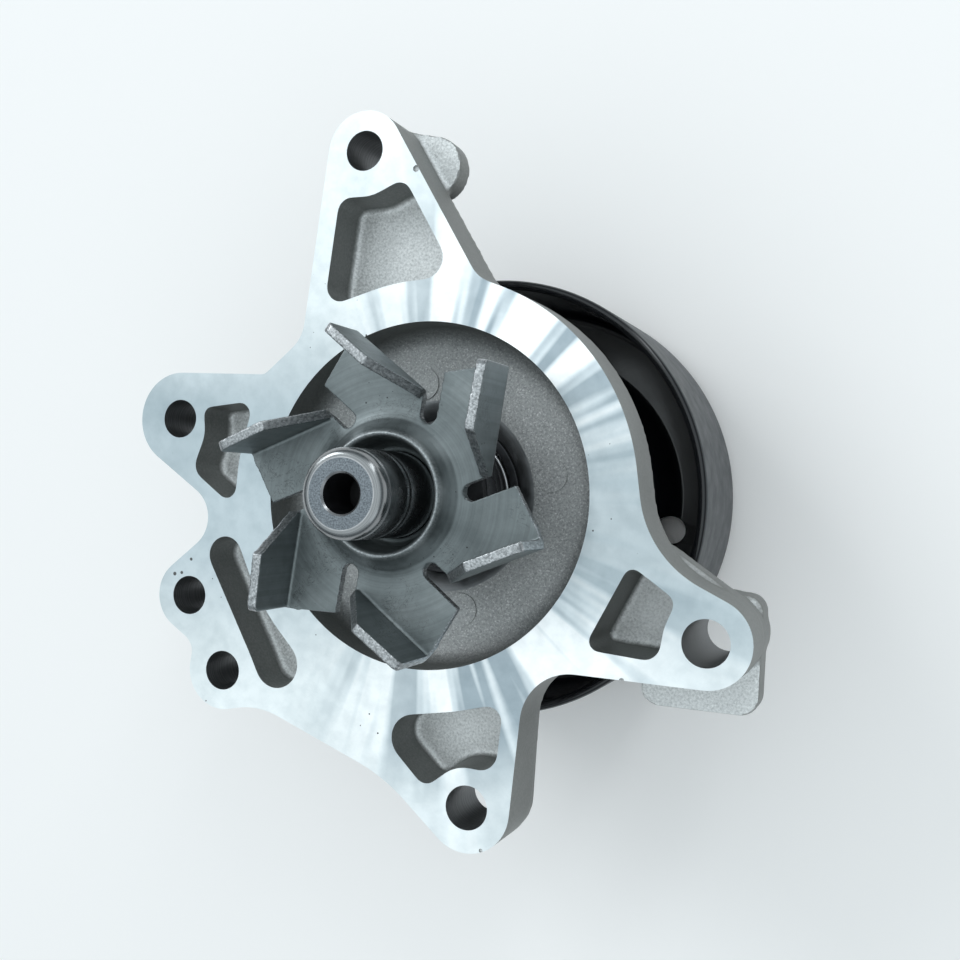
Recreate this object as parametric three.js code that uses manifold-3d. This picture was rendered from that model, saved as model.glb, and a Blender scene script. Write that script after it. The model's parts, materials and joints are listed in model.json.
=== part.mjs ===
// Engine water pump: a die-cast body with six bolt lugs, an integral shaft bearing, a mechanical
// face seal, a stamped six-blade impeller and a smooth flat-belt pulley.
// Millimetres, +Z up. The pump stands on its pulley, with the origin where its axis meets the ground.
import * as THREE from 'three';
import { mergeVertices } from 'three/addons/utils/BufferGeometryUtils.js';
import Module from 'manifold-3d';

const wasm = await Module();
wasm.setup();

// ---- driving dimensions ------------------------------------------------------------------------
const FACE_Z = 66;              // machined joint face of the body
const RECESS_R = 29.5;          // impeller chamber in that face
const RECESS_DEPTH = 9.5;
const RECESS_FILLET = 4;
const RIM_R = 37.4;             // outside of the ring around the chamber
const POCKET_RING_R = 36.6;     // inner side of every lightening pocket
const PLATE_BACK_Z = 55;        // back of the arms
const POCKET_FLOOR_Z = FACE_Z - 7.8;
const CUT_MARGIN = 1;           // how far a cutter runs past the face that it opens

// Bolt lugs: centre, bolt hole radius, lug radius and the height of the lug's back.
const TOP_LUG = { x: -14.35, y: 59.15, hole: 3.5, r: 7.0, back: 52 };
const LEFT_LUG = { x: -49.6, y: 11.4, hole: 3.5, r: 8.5, back: 52 };
const NOTCH_LUG = { x: -45.5, y: -20.9, hole: 3.5, r: 6.6, back: 52 };
const CORNER_LUG = { x: -37.5, y: -33.85, hole: 3.5, r: 7.0, back: 52 };
const BOTTOM_LUG = { x: 11.24, y: -51.3, hole: 3.7, r: 7.5, back: 52.6 };
const RIGHT_LUG = { x: 49.2, y: -20.15, hole: 3.8, r: 7.2, back: 43 };
const LUGS = [TOP_LUG, LEFT_LUG, NOTCH_LUG, CORNER_LUG, BOTTOM_LUG, RIGHT_LUG];

const SEAT_R = 13;              // bore that the seal cup is pressed into
const FUNNEL_R = 17;            // mouth of the cone that leads to it
const FUNNEL_DEPTH = 3;
const NECK_R = 19;              // bearing boss behind the plate
const NECK_END_Z = 16;

const RACE_R = 15;              // integral bearing, outside
const RACE_BORE_R = 12;
const RACE_Z0 = 15;
const RACE_Z1 = 45;
const STATIC_GAP = 0.05;        // between pieces pressed or set together
const RUN_GAP = 0.1;            // between pieces that turn on each other
const FACE_GAP = 0.3;           // between pieces that meet end to end

const SHAFT_R = 7.95;           // bearing part of the shaft
const SHAFT_NOSE_R = 6.95;      // impeller end
const SHAFT_STEP_Z = 47;
const SHAFT_END_Z = 94.8;
const NOSE_ROUND = 1.7;
const CENTRE_HOLE_R = 3.1;
const CENTRE_HOLE_DEPTH = 9;

const BALL = { count: 8, r: 2.9, z: 37, groove: 0.55 };
const ROLLER = { count: 10, r: 1.9, length: 9, z: 22 };
const LIP_GAP = 0.15;           // between the bearing's lip seals and the shaft
const WET_END_SEAL_Z = [43, 44.6];
const PULLEY_END_SEAL_Z = [15.3, 16.1];
const SLINGER = { r: 11.8, lowR: 11.2, z: [45.3, 46.1] };

const CUP_Z = 47;               // face seal, from the bottom of its pressed-in cup
const CUP_BORE_R = 9.3;
const CUP_WALL = 0.8;
const CUP_LIP_Z = 54.4;
const CUP_LIP_R = 13.7;
const SPRING = { wire: 0.55, coilR: 11.2, z: [48.7, 56.6], turns: 3 };
const SEAL_FACE_Z = 62;         // where the carbon ring runs on the mating ring
const MATING_RING = { inner: 9.2, outer: 12.2, top: 66 };

const SHEET = 1.6;              // impeller sheet thickness
const DISC_TOP_Z = 78.6;
const BLADE_TOP_Z = 88.9;
const BLADE_TIP_Z = 88.3;
const BLADE_COUNT = 6;
const FIRST_BLADE_DEG = -6.3;
const FOLD_X = 15.2;            // distance of each blade's inner face from the axis
const BLADE_Y = [5.5, 12.3, 21.4];
const HUB_CREST_R = 9.7;
const HUB_CREST_Z = 82.1;
const COLLAR_Z = 71;

const PULLEY_R = 42.45;
const PULLEY_TOP_Z = 33.6;
const PULLEY_WALL = 1.8;
const WEB = 2.2;
const WEB_STEP_Z = 5;
const WEB_HOLE = { count: 4, r: 2.9, orbit: 30.2, first: -10 };
const HUB_R = 14;

const ROUND = 40;               // sides of the large round pieces
const FINE = 24;                // sides of the small round pieces
const ARC = 3;                  // half of the steps in each arc of an outline

// ---- helpers -----------------------------------------------------------------------------------
const TURN = Math.PI * 2;
const rad = THREE.MathUtils.degToRad;

// A closed mesh with shared vertices and no collapsed triangles, ready for a boolean or a mesh.
function weld(geometry) {
  const bare = geometry.clone();
  bare.deleteAttribute('normal');
  bare.deleteAttribute('uv');
  const merged = mergeVertices(bare, 1e-4);
  const kept = [];
  const index = merged.index.array;
  for (let i = 0; i < index.length; i += 3) {
    const [a, b, c] = [index[i], index[i + 1], index[i + 2]];
    if (a !== b && b !== c && c !== a) kept.push(a, b, c);
  }
  merged.setIndex(kept);
  return merged;
}

function solid(geometry) {
  const merged = weld(geometry);
  return new wasm.Manifold(new wasm.Mesh({
    numProp: 3,
    vertProperties: new Float32Array(merged.attributes.position.array),
    triVerts: new Uint32Array(merged.index.array),
  }));
}

function geometryOf(manifold) {
  const mesh = manifold.getMesh();
  const geometry = new THREE.BufferGeometry();
  geometry.setAttribute('position', new THREE.BufferAttribute(mesh.vertProperties, 3));
  geometry.setIndex(Array.from(mesh.triVerts));
  geometry.computeVertexNormals();
  return geometry;
}

// The outline of a belt run round a list of circles [x, y, r]: a positive radius is wrapped from
// outside and makes a rounded corner, a negative one is passed on its other side and makes a hollow.
function belt(circles) {
  const shape = new THREE.Shape();
  const normals = circles.map(([x, y, r], i) => {
    const [nx, ny, nr] = circles[(i + 1) % circles.length];
    const along = Math.atan2(ny - y, nx - x);
    const lean = Math.asin((nr - r) / Math.hypot(nx - x, ny - y));
    return along - lean - Math.PI / 2;
  });
  circles.forEach(([x, y, r], i) => {
    const from = normals[(i + circles.length - 1) % circles.length];
    const to = normals[i];
    const flip = r < 0 ? Math.PI : 0;
    shape.absarc(x, y, Math.abs(r), from + flip, to + flip, r < 0);
  });
  return shape;
}

function extrude(shape, z0, z1) {
  const geometry = new THREE.ExtrudeGeometry(shape, {
    depth: z1 - z0, bevelEnabled: false, curveSegments: ARC,
  });
  return geometry.translate(0, 0, z0);
}

// A solid of revolution about Z from a closed profile of [radius, z] points, given anticlockwise.
function lathe(profile, sides = FINE) {
  const points = profile.map(([r, z]) => new THREE.Vector2(r, z));
  if (profile[0][0] > 0) points.push(points[0].clone());
  return new THREE.LatheGeometry(points, sides).rotateX(Math.PI / 2);
}

// A ring with a rectangular section.
function ring(inner, outer, z0, z1, sides = FINE) {
  return lathe([[inner, z0], [outer, z0], [outer, z1], [inner, z1]], sides);
}

function rod(r, z0, z1, sides = FINE) {
  return lathe([[0, z0], [r, z0], [r, z1], [0, z1]], sides);
}

// Points of a circular arc for a profile, from one angle to another, in degrees.
function arc(r, z, radius, from, to, steps = 2) {
  return Array.from({ length: steps + 1 }, (_, i) => {
    const a = rad(from + ((to - from) * i) / steps);
    return [r + radius * Math.cos(a), z + radius * Math.sin(a)];
  });
}

function around(count, make, first = 0) {
  return Array.from({ length: count }, (_, i) => make(rad(first) + (TURN * i) / count, i));
}

const pump = new THREE.Group();

function addNode(name, geometry, color, roughness, metalness) {
  const material = new THREE.MeshStandardMaterial({ color, roughness, metalness });
  const mesh = new THREE.Mesh(geometry, material);
  mesh.name = name;
  pump.add(mesh);
  return mesh;
}

const lugCircle = (lug, extra = 0) => [lug.x, lug.y, lug.r + extra];

// ---- pump body ---------------------------------------------------------------------------------
// Outline of the joint face, anticlockwise from the top lug.
function faceOutline() {
  return belt([
    lugCircle(TOP_LUG),
    [-30.9, 29.6, -6.5],
    [-32.3, 20.7, -0.8],
    lugCircle(LEFT_LUG),
    [-48.3, -6.7, -6],
    lugCircle(NOTCH_LUG),
    [-47.3, -31.2, -3.1],
    lugCircle(CORNER_LUG),
    [-30.5, -54.8, -15],
    [-19.2, -74.8, -30],
    lugCircle(BOTTOM_LUG),
    [28.5, -36, -8.8],
    lugCircle(RIGHT_LUG),
    [55.2, 4.6, -17.8],
    [0, 0, RIM_R],
    [12, 41.8, -6],
  ]);
}

// The five lightening pockets between the chamber's ring and the lugs, with their floors.
const POCKETS = [
  {
    floor: POCKET_FLOOR_Z,
    circles: [[-16.5, 48.6, 2.5], [-17.6, 35.6, 2.7], [0, 0, -POCKET_RING_R], [-2, 40.2, 3.6],
      [-7.3, 51, 2.4], [TOP_LUG.x, TOP_LUG.y, -8]],
  },
  {
    floor: POCKET_FLOOR_Z,
    circles: [[-42.9, 12.3, 1.5], [-51, 9.4, -6.9], [-42.8, 3.2, 2.9], [-38.7, -0.7, 2],
      [0, 0, -POCKET_RING_R], [-36.7, 12.6, 2.1]],
  },
  {
    floor: POCKET_FLOOR_Z,
    circles: [[-38.2, -13, 3.4], [CORNER_LUG.x, CORNER_LUG.y, -6.6], [-26.4, -31.5, 4.3],
      [0, 0, -POCKET_RING_R]],
  },
  {
    floor: FACE_Z - 9,
    circles: [[14.3, -36.4, 2.3], [0, 0, -POCKET_RING_R], [1, -41.2, 4.1], [3.6, -46.2, 2.2],
      [BOTTOM_LUG.x, BOTTOM_LUG.y, -6.6], [13.1, -41.7, 3.1]],
  },
  {
    floor: FACE_Z - 12,
    circles: [[37.2, -11.1, 1.5], [32.2, -21.6, 1.6], [39.6, -21.1, 2.6],
      [RIGHT_LUG.x, RIGHT_LUG.y, -6.8], [42.1, -14.7, 1.8]],
  },
];

// Cast pads on the back: the deep right lug and its square foot, the bottom arm, and the top ear.
function castPads() {
  const rightArm = belt([lugCircle(RIGHT_LUG), [38.5, -10.2, 4.6], [33, -22.5, 4.4]]);
  const foot = belt([[38.8, -30.6, 3], [52.6, -30.6, 3], [52.6, -16.5, 3], [38.8, -16.5, 3]]);
  const bottomArm = belt([lugCircle(BOTTOM_LUG), [11.5, -36, 7.5], [-1, -39, 4]]);
  const ear = belt([[-6, 58.7, 5.6], lugCircle(TOP_LUG, -0.3)]);
  return [
    extrude(rightArm, 51, PLATE_BACK_Z + CUT_MARGIN),
    extrude(foot, RIGHT_LUG.back, 50),
    extrude(bottomArm, BOTTOM_LUG.back, PLATE_BACK_Z + CUT_MARGIN),
    extrude(ear, 51, 56),
    ...LUGS.map((lug) => rod(lug.r - 0.3, lug.back, PLATE_BACK_Z + CUT_MARGIN, 24)
      .translate(lug.x, lug.y, 0)),
  ];
}

// Bearing boss and the cone that carries the chamber's floor.
function neck() {
  return lathe([
    [0, NECK_END_Z], [NECK_R - 1, NECK_END_Z], [NECK_R, NECK_END_Z + 1], [NECK_R, 40],
    [20.5, 45], [26, 49.5], [33, 52], [33, PLATE_BACK_Z + CUT_MARGIN], [0, PLATE_BACK_Z + CUT_MARGIN],
  ], ROUND);
}

// A rib on the back, from the bearing boss out to a lug.
function backRib(lug) {
  const reach = Math.hypot(lug.x, lug.y) - 4;
  const profile = new THREE.Shape([
    new THREE.Vector2(NECK_R - 2, 34), new THREE.Vector2(NECK_R + 2, 36), new THREE.Vector2(33, 46),
    new THREE.Vector2(reach, lug.back + 0.5), new THREE.Vector2(reach, PLATE_BACK_Z + 0.5),
    new THREE.Vector2(NECK_R - 2, PLATE_BACK_Z + 0.5),
  ]);
  const width = 3.2;
  const geometry = new THREE.ExtrudeGeometry(profile, { depth: width, bevelEnabled: false });
  geometry.translate(0, 0, -width / 2);
  geometry.rotateX(Math.PI / 2);
  return geometry.rotateZ(Math.atan2(lug.y, lug.x));
}

// Chamber, funnel, seal seat and bearing bore in one cutter.
function boreCutter() {
  const floorZ = FACE_Z - RECESS_DEPTH;
  return lathe([
    [0, NECK_END_Z - CUT_MARGIN], [RACE_R + STATIC_GAP, NECK_END_Z - CUT_MARGIN],
    [RACE_R + STATIC_GAP, RACE_Z1 + FACE_GAP], [SEAT_R, RACE_Z1 + FACE_GAP],
    [SEAT_R, floorZ - FUNNEL_DEPTH], [FUNNEL_R, floorZ],
    ...arc(RECESS_R - RECESS_FILLET, floorZ + RECESS_FILLET, RECESS_FILLET, -90, 0),
    [RECESS_R, FACE_Z + CUT_MARGIN], [0, FACE_Z + CUT_MARGIN],
  ], ROUND);
}

function weepHole() {
  const hole = rod(2, SEAT_R - 3, 30, 24);
  hole.rotateY(Math.PI / 2);
  hole.translate(0, 0, RACE_Z1 + 2.2);
  return hole.rotateZ(rad(200));
}

function pumpBody() {
  let body = solid(extrude(faceOutline(), PLATE_BACK_Z, FACE_Z));
  for (const part of [neck(), ...castPads(), ...LUGS.map(backRib)]) body = body.add(solid(part));
  body = body.subtract(solid(boreCutter()));
  for (const pocket of POCKETS) {
    body = body.subtract(solid(extrude(belt(pocket.circles), pocket.floor, FACE_Z + CUT_MARGIN)));
  }
  for (const lug of LUGS) {
    const drill = rod(lug.hole, lug.back - CUT_MARGIN, FACE_Z + CUT_MARGIN, 24);
    body = body.subtract(solid(drill.translate(lug.x, lug.y, 0)));
  }
  return geometryOf(body.subtract(solid(weepHole())));
}

addNode('pump_body', pumpBody(), 0xc9d3d8, 0.35, 0.9);

// ---- shaft and its bearing ---------------------------------------------------------------------
function shaft() {
  const grooveR = SHAFT_R - BALL.groove;
  const half = Math.sqrt(BALL.r ** 2 - (BALL.r - BALL.groove) ** 2);
  return lathe([
    [0, 0], [SHAFT_R - 0.8, 0], [SHAFT_R, 0.8],
    [SHAFT_R, BALL.z - half], [grooveR, BALL.z - half * 0.35], [grooveR, BALL.z + half * 0.35],
    [SHAFT_R, BALL.z + half], [SHAFT_R, SHAFT_STEP_Z - 0.5], [SHAFT_NOSE_R, SHAFT_STEP_Z + 0.5],
    ...arc(SHAFT_NOSE_R - NOSE_ROUND, SHAFT_END_Z - NOSE_ROUND, NOSE_ROUND, 0, 90),
    [CENTRE_HOLE_R, SHAFT_END_Z], [CENTRE_HOLE_R, SHAFT_END_Z - CENTRE_HOLE_DEPTH],
    [0, SHAFT_END_Z - CENTRE_HOLE_DEPTH - 1.8],
  ]);
}

const ballOrbit = SHAFT_R - BALL.groove + RUN_GAP + BALL.r;
const rollerOrbit = SHAFT_R + RUN_GAP + ROLLER.r;

function outerRace() {
  const grooveR = ballOrbit + BALL.r + RUN_GAP;
  return lathe([
    [RACE_BORE_R, RACE_Z0], [RACE_R - 0.5, RACE_Z0], [RACE_R, RACE_Z0 + 0.5],
    [RACE_R, RACE_Z1 - 0.5], [RACE_R - 0.5, RACE_Z1], [RACE_BORE_R, RACE_Z1],
    [RACE_BORE_R, BALL.z + 2.6], [grooveR, BALL.z + 1.1], [grooveR, BALL.z - 1.1],
    [RACE_BORE_R, BALL.z - 2.6],
  ]);
}

function cage(inner, outer, halfHeight, z, pockets) {
  let body = solid(ring(inner, outer, z - halfHeight, z + halfHeight));
  for (const pocket of pockets) body = body.subtract(solid(pocket));
  return geometryOf(body);
}

function ballPocket(angle) {
  const pocket = rod(BALL.r + 0.15, ballOrbit - 3, ballOrbit + 3, 12);
  pocket.rotateY(Math.PI / 2);
  return pocket.rotateZ(angle).translate(0, 0, BALL.z);
}

function rollerPocket(angle) {
  const pocket = new THREE.BoxGeometry(6, 2 * ROLLER.r + 0.3, ROLLER.length + 0.4);
  return pocket.translate(rollerOrbit, 0, ROLLER.z).rotateZ(angle);
}

addNode('shaft', weld(shaft()), 0x7f878c, 0.22, 1);
addNode('bearing_outer_race', weld(outerRace()), 0x9aa0a4, 0.25, 1);
around(BALL.count, (angle, i) => {
  const ball = addNode(`bearing_ball_${i + 1}`, weld(new THREE.SphereGeometry(BALL.r, 12, 8)),
    0xd5d9dc, 0.08, 1);
  ball.position.set(ballOrbit * Math.cos(angle), ballOrbit * Math.sin(angle), BALL.z);
});
around(ROLLER.count, (angle, i) => {
  const half = ROLLER.length / 2;
  const roller = addNode(`bearing_roller_${i + 1}`, weld(rod(ROLLER.r, -half, half, 12)),
    0xd0d4d8, 0.1, 1);
  roller.position.set(rollerOrbit * Math.cos(angle), rollerOrbit * Math.sin(angle), ROLLER.z);
});
addNode('ball_cage', cage(ballOrbit - 0.9, ballOrbit + 1, 4, BALL.z, around(BALL.count, ballPocket)),
  0x2f3a34, 0.5, 0);
addNode('roller_cage', cage(rollerOrbit - 0.9, rollerOrbit + 0.9, 5.6, ROLLER.z,
  around(ROLLER.count, rollerPocket)), 0x2f3a34, 0.5, 0);

function lipSeal([z0, z1]) {
  return weld(ring(SHAFT_R + LIP_GAP, RACE_BORE_R - STATIC_GAP, z0, z1));
}

function slinger() {
  const [z0, z1] = SLINGER.z;
  const bore = SHAFT_R + STATIC_GAP;
  return lathe([[bore, z0], [SLINGER.lowR, z0], [SLINGER.r, z1], [bore, z1]]);
}

addNode('bearing_seal_wet_end', lipSeal(WET_END_SEAL_Z), 0x1b1d1f, 0.7, 0);
addNode('bearing_seal_pulley_end', lipSeal(PULLEY_END_SEAL_Z), 0x1b1d1f, 0.7, 0);
addNode('slinger', weld(slinger()), 0xaab0b4, 0.4, 1);

// ---- mechanical face seal ----------------------------------------------------------------------
function sealCup() {
  const outer = SEAT_R - STATIC_GAP;
  return lathe([
    [CUP_BORE_R, CUP_Z], [outer, CUP_Z], [outer, CUP_LIP_Z], [CUP_LIP_R, CUP_LIP_Z],
    [CUP_LIP_R, CUP_LIP_Z + CUP_WALL], [outer - CUP_WALL, CUP_LIP_Z + CUP_WALL],
    [outer - CUP_WALL, CUP_Z + CUP_WALL], [CUP_BORE_R, CUP_Z + CUP_WALL],
  ]);
}

function sealSpring() {
  const { wire, coilR, turns } = SPRING;
  const [z0, z1] = SPRING.z;
  class Helix extends THREE.Curve {
    getPoint(t, target = new THREE.Vector3()) {
      const a = TURN * turns * t;
      return target.set(coilR * Math.cos(a), coilR * Math.sin(a), z0 + (z1 - z0) * t);
    }
  }
  const section = new THREE.Shape().absarc(0, 0, wire, 0, TURN);
  return new THREE.ExtrudeGeometry(section, {
    steps: 16 * turns, extrudePath: new Helix(), curveSegments: 3, bevelEnabled: false,
  });
}

function sealBellows() {
  return lathe([
    [7.4, 48.2], [9.9, 48.2], [9.9, 49.6], [9.1, 50.4], [9.1, 53], [10, 54.2], [9.1, 55.4],
    [9.1, 57.5], [11.9, 57.5], [11.9, 58.3], [7.9, 58.3], [7.9, 49.6], [7.4, 49.6],
  ]);
}

addNode('seal_cup', weld(sealCup()), 0x15171a, 0.4, 0.3);
addNode('seal_spring', weld(sealSpring()), 0xb8bcc0, 0.3, 1);
addNode('seal_bellows', weld(sealBellows()), 0x17191b, 0.75, 0);
addNode('seal_carbon_ring', weld(lathe([
  [8.4, 58.6], [11.8, 58.6], [11.8, 60.6], [10.6, 60.6], [10.6, SEAL_FACE_Z - RUN_GAP],
  [8.4, SEAL_FACE_Z - RUN_GAP],
])), 0x26282b, 0.45, 0);
addNode('seal_mating_ring', weld(ring(MATING_RING.inner, MATING_RING.outer, SEAL_FACE_Z,
  MATING_RING.top)), 0x3a3c40, 0.3, 0.2);
addNode('mating_ring_boot', weld(lathe([
  [SHAFT_NOSE_R + STATIC_GAP, 62.3], [8.9, 62.3], [8.9, 66.3], [12, 66.3], [12, 67.6],
  [SHAFT_NOSE_R + STATIC_GAP, 67.6],
])), 0x1a1c1e, 0.75, 0);

// ---- impeller ----------------------------------------------------------------------------------
// Stamped star: each petal ends in a straight edge, with a round-ended relief slot beside each fold.
function starOutline() {
  const circles = [];
  around(BLADE_COUNT, (angle) => {
    const [c, s] = [Math.cos(angle), Math.sin(angle)];
    const place = (x, y, r) => circles.push([x * c - y * s, x * s + y * c, r]);
    place(20.4, 4.6, 0.5);
    place(14, 2.7, -1.4);
    place(FOLD_X + 1, BLADE_Y[0] + 0.5, 0.5);
    place(FOLD_X + SHEET - 0.4, BLADE_Y[2] - 0.4, 0.4);
  }, FIRST_BLADE_DEG);
  return belt(circles);
}

function blade(angle) {
  const [inner, kink, tip] = BLADE_Y;
  const side = new THREE.Shape([
    new THREE.Vector2(inner, DISC_TOP_Z - 1), new THREE.Vector2(tip, DISC_TOP_Z - 1),
    new THREE.Vector2(tip, BLADE_TIP_Z - 0.8), new THREE.Vector2(tip - 0.7, BLADE_TIP_Z),
    new THREE.Vector2(kink, BLADE_TOP_Z), new THREE.Vector2(inner + 0.1, DISC_TOP_Z + 0.5),
  ]);
  const geometry = new THREE.ExtrudeGeometry(side, { depth: SHEET, bevelEnabled: false });
  geometry.rotateX(Math.PI / 2);
  geometry.rotateZ(Math.PI / 2);
  return geometry.translate(FOLD_X, 0, 0).rotateZ(angle);
}

// Raised bead and the collar that grips the shaft.
function impellerHub() {
  const bore = SHAFT_NOSE_R + STATIC_GAP;
  return lathe([
    [bore, COLLAR_Z], [bore + SHEET, COLLAR_Z], [bore + SHEET, 79.2], [HUB_CREST_R, HUB_CREST_Z - SHEET],
    [12, DISC_TOP_Z - SHEET], [12.8, DISC_TOP_Z - SHEET], [12.8, DISC_TOP_Z],
    [11, DISC_TOP_Z + 1.9], [HUB_CREST_R + 0.5, HUB_CREST_Z - 0.2], [HUB_CREST_R, HUB_CREST_Z],
    [HUB_CREST_R - 1.1, HUB_CREST_Z - 0.4], [bore + 0.5, DISC_TOP_Z + 1], [bore, DISC_TOP_Z - 1],
  ]);
}

function impeller() {
  let body = solid(extrude(starOutline(), DISC_TOP_Z - SHEET, DISC_TOP_Z));
  body = body.subtract(solid(rod(12.3, DISC_TOP_Z - 3, DISC_TOP_Z + 1)));
  body = body.add(solid(impellerHub()));
  for (const one of around(BLADE_COUNT, blade, FIRST_BLADE_DEG)) body = body.add(solid(one));
  return geometryOf(body);
}

addNode('impeller', impeller(), 0x6d767a, 0.4, 0.9);

// ---- pulley and its hub ------------------------------------------------------------------------
function pulleyCup() {
  const inner = PULLEY_R - PULLEY_WALL;
  const corner = 4;
  return lathe([
    [HUB_R + STATIC_GAP, WEB_STEP_Z], [26, WEB_STEP_Z], [30.5, 0.4], [31.5, 0],
    ...arc(PULLEY_R - corner, corner, corner, -90, 0),
    [PULLEY_R, PULLEY_TOP_Z - 0.7], [PULLEY_R - 0.6, PULLEY_TOP_Z], [inner + 0.4, PULLEY_TOP_Z],
    [inner, PULLEY_TOP_Z - 0.4],
    ...arc(PULLEY_R - corner, corner, corner - PULLEY_WALL, 0, -90),
    [32, WEB], [30.8, WEB + 0.4], [26.6, WEB_STEP_Z + WEB], [HUB_R + STATIC_GAP, WEB_STEP_Z + WEB],
  ], ROUND);
}

function pulley() {
  let body = solid(pulleyCup());
  const holes = around(WEB_HOLE.count, (angle) => rod(WEB_HOLE.r, -1, 12, 24)
    .translate(WEB_HOLE.orbit * Math.cos(angle), WEB_HOLE.orbit * Math.sin(angle), 0), WEB_HOLE.first);
  for (const hole of holes) body = body.subtract(solid(hole));
  return geometryOf(body);
}

addNode('pulley', pulley(), 0x22262b, 0.35, 0.6);
addNode('pulley_hub', weld(lathe([
  [SHAFT_R + STATIC_GAP, 1], [HUB_R - 0.6, 1], [HUB_R, 1.6], [HUB_R, WEB_STEP_Z + WEB + 0.1],
  [21, WEB_STEP_Z + WEB + 0.1], [21, 10], [12, 10], [12, 13.5], [SHAFT_R + STATIC_GAP, 13.5],
])), 0x3a3f45, 0.4, 0.9);

export default pump;
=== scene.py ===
"""Looks of an engine water pump: cast body, stamped impeller, polished shaft, black belt pulley."""
import json
import math

import bpy
import numpy as np
from mathutils import Matrix, Vector


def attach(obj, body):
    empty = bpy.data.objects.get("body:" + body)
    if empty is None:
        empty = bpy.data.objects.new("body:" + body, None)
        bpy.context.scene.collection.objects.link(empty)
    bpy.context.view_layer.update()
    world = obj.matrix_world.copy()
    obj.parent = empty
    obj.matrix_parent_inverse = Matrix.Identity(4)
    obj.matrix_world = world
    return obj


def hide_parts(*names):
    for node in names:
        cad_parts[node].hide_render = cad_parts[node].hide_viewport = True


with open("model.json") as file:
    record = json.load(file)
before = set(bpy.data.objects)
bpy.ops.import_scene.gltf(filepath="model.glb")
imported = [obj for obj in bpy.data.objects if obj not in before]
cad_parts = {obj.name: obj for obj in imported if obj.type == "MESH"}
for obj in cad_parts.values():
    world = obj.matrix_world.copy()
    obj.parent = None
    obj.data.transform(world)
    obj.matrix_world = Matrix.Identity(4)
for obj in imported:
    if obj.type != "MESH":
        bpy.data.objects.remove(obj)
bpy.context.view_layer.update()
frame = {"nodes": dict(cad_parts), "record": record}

BODY_OF = {node: body for body, nodes in frame["record"]["behaviour"]["bodies"].items() for node in nodes}
MM = 0.001               # shapes are written in millimetres, and scaled when they are put in place
TAU = 2 * math.pi

# ---- camera, floor and light -------------------------------------------------------------------
CAMERA_MM = (79.9, 3.1, 243.7)
CAMERA_TILT = math.radians(-21.33)      # away from straight down, about Y
CAMERA_ROLL = math.radians(-3.13)
CAMERA_LENS = 43.1
SENSOR_WIDTH = 36
NEAR_CLIP = 0.01
FLOOR_HALF = 3.0
LIGHT_AIM = (0, 0, 0.05)
COOL_WHITE = (0.93, 0.98, 1.0)

# The sky's colour by the height of the direction looked in: pale at the horizon, dim above it, and
# bright overhead, so that upright faces go dark as they do under a ceiling light.
SKY = (
    (0.00, (0.47, 0.53, 0.55)),
    (0.12, (0.40, 0.45, 0.47)),
    (0.20, (0.048, 0.055, 0.06)),
    (0.45, (0.20, 0.24, 0.26)),
    (0.82, (0.88, 0.97, 1.0)),
)
SKY_STRENGTH = 1.27


def add_camera():
    """The camera looks down on the impeller from the right, with +Y up in the picture."""
    tilt, roll = CAMERA_TILT, CAMERA_ROLL
    ahead = Vector((math.sin(tilt), 0, -math.cos(tilt)))
    level = Vector((math.cos(tilt), 0, math.sin(tilt)))
    down = ahead.cross(level)
    right = math.cos(roll) * level + math.sin(roll) * down
    low = -math.sin(roll) * level + math.cos(roll) * down
    turn = Matrix((right, -low, -ahead)).transposed().to_4x4()
    data = bpy.data.cameras.new("camera")
    data.lens = CAMERA_LENS
    data.sensor_width = SENSOR_WIDTH
    data.clip_start = NEAR_CLIP
    camera = bpy.data.objects.new("camera", data)
    camera.matrix_world = Matrix.Translation(Vector(CAMERA_MM) * MM) @ turn
    bpy.context.scene.collection.objects.link(camera)
    bpy.context.scene.camera = camera


def area_light(name, place, size, power, color):
    data = bpy.data.lights.new(name, "AREA")
    data.shape = "RECTANGLE"
    data.size, data.size_y = size
    data.energy = power
    data.color = color
    lamp = bpy.data.objects.new(name, data)
    lamp.location = place
    lamp.rotation_euler = (Vector(LIGHT_AIM) - Vector(place)).to_track_quat("-Z", "Y").to_euler()
    bpy.context.scene.collection.objects.link(lamp)


def add_stage():
    mesh = bpy.data.meshes.new("floor")
    half = FLOOR_HALF
    corners = [(-half, -half, 0), (half, -half, 0), (half, half, 0), (-half, half, 0)]
    mesh.from_pydata(corners, [], [(0, 1, 2, 3)])
    floor = bpy.data.objects.new("floor", mesh)
    bpy.context.scene.collection.objects.link(floor)
    material, shade = new_material("pale_floor")
    shade.base(0.90, 0.87, 0.86)
    shade.put("Roughness", 0.7)
    mesh.materials.append(material)


def add_world():
    world = bpy.data.worlds.new("studio")
    world.use_nodes = True
    tree = world.node_tree
    back = tree.nodes["Background"]
    coords = tree.nodes.new("ShaderNodeTexCoord")
    split = tree.nodes.new("ShaderNodeSeparateXYZ")
    ramp = tree.nodes.new("ShaderNodeValToRGB")
    tree.links.new(coords.outputs["Generated"], split.inputs["Vector"])
    tree.links.new(split.outputs["Z"], ramp.inputs["Fac"])
    tree.links.new(ramp.outputs["Color"], back.inputs["Color"])
    set_stops(ramp.color_ramp.elements, SKY)
    back.inputs["Strength"].default_value = SKY_STRENGTH
    bpy.context.scene.world = world


def add_lights():
    area_light("key", (-2.40, 1.80, 2.00), (1.40, 1.40), 36.0, COOL_WHITE)
    area_light("fill", (0.5, -0.5, 0.6), (0.4, 0.4), 0.3, (0.88, 0.96, 1.0))
    area_light("strip", (0.30, 0.55, 0.45), (0.10, 0.5), 0.8, COOL_WHITE)


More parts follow.
